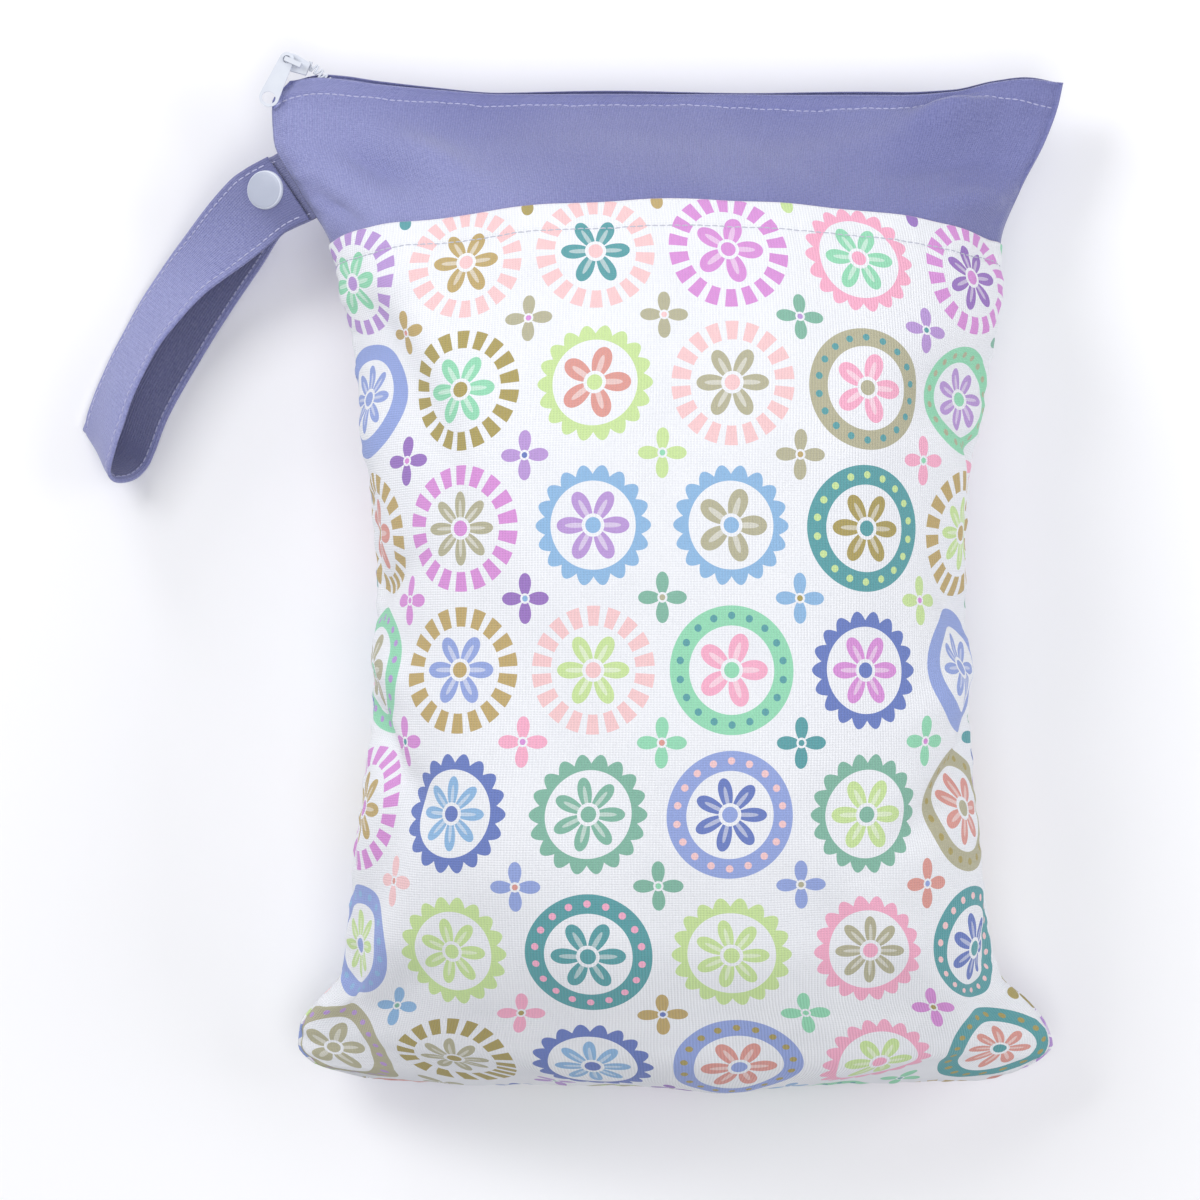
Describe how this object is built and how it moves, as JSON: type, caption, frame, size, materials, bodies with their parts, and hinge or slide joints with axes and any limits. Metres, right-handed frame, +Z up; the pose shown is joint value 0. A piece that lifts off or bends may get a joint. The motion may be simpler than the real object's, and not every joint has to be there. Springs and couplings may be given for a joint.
{
  "type": "cloth diaper wet bag",
  "caption": "Stuffed rectangular cloth wet bag lying on its back, with a closed zip, a plain upper band, a hemmed printed panel and a snapped wrist strap loop.",
  "frame": {"origin": "the middle of the flat patch of the bag's back that it lies on", "axes": "+X across the bag towards its right side seam, +Y from the bottom to the zip, +Z up from the surface, out of the printed front"},
  "size_m": [0.3735, 0.3882, 0.1302],
  "materials": {
    "plain_cloth": "fine knit with a soft sheen, waterproof backing",
    "printed_cloth": null,
    "zip": "white nylon coil and woven tape",
    "zip_hardware": "white enamel",
    "snap": "moulded, satin"
  },
  "bodies": {
    "bag": {"front_upper_panel": "plain_cloth", "back_upper_panel": "plain_cloth", "strap": "plain_cloth", "front_print_panel": "printed_cloth", "back_print_panel": "printed_cloth", "zip_coil": "zip", "zip_tape": "zip", "zip_slider": "zip_hardware", "snap_cap": "snap", "snap_socket": "snap", "snap_stud": "snap", "snap_back_cap": "snap"},
    "pull": {"zip_pull": "zip_hardware"}
  },
  "joints": [
    {"name": "pull_swing", "type": "hinge", "parent": "bag", "child": "pull", "pos_m": [-0.14419, 0.19423, 0.0368], "axis": [0, 0, 1], "range_deg": [-90, 35]}
  ]
}
